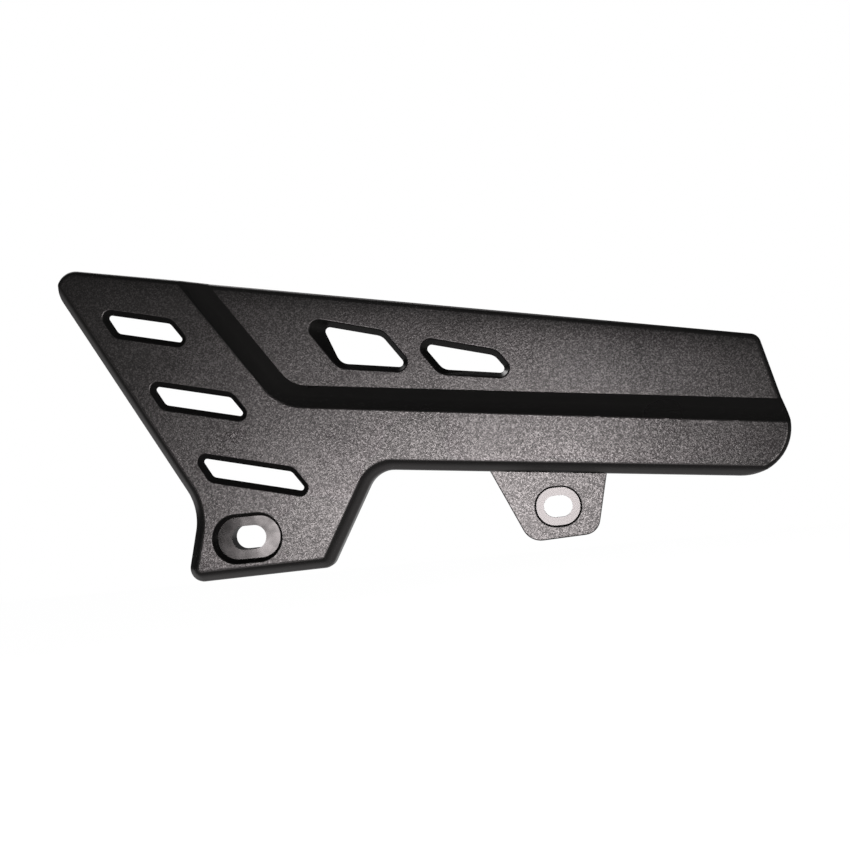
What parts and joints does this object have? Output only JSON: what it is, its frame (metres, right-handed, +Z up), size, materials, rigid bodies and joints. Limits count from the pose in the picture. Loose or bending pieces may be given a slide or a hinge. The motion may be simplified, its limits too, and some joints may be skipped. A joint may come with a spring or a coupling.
{
  "type": "motorcycle chain guard",
  "caption": "Stepped plastic chain guard with slanted vents, a deep slotted boss and a thin slotted lug, hollow behind with a flange over the chain.",
  "frame": {"origin": "centre of the rear slot on its seat plane, the back face of the rear boss", "axes": "+X from the rear slot to the front slot, +Y from the outer face to the motorcycle, +Z up"},
  "size_m": [0.3039, 0.0245, 0.1395],
  "materials": {
    "black_plastic": "satin, finely grained"
  },
  "bodies": {
    "root": {"chain_guard": "black_plastic"}
  },
  "joints": []
}
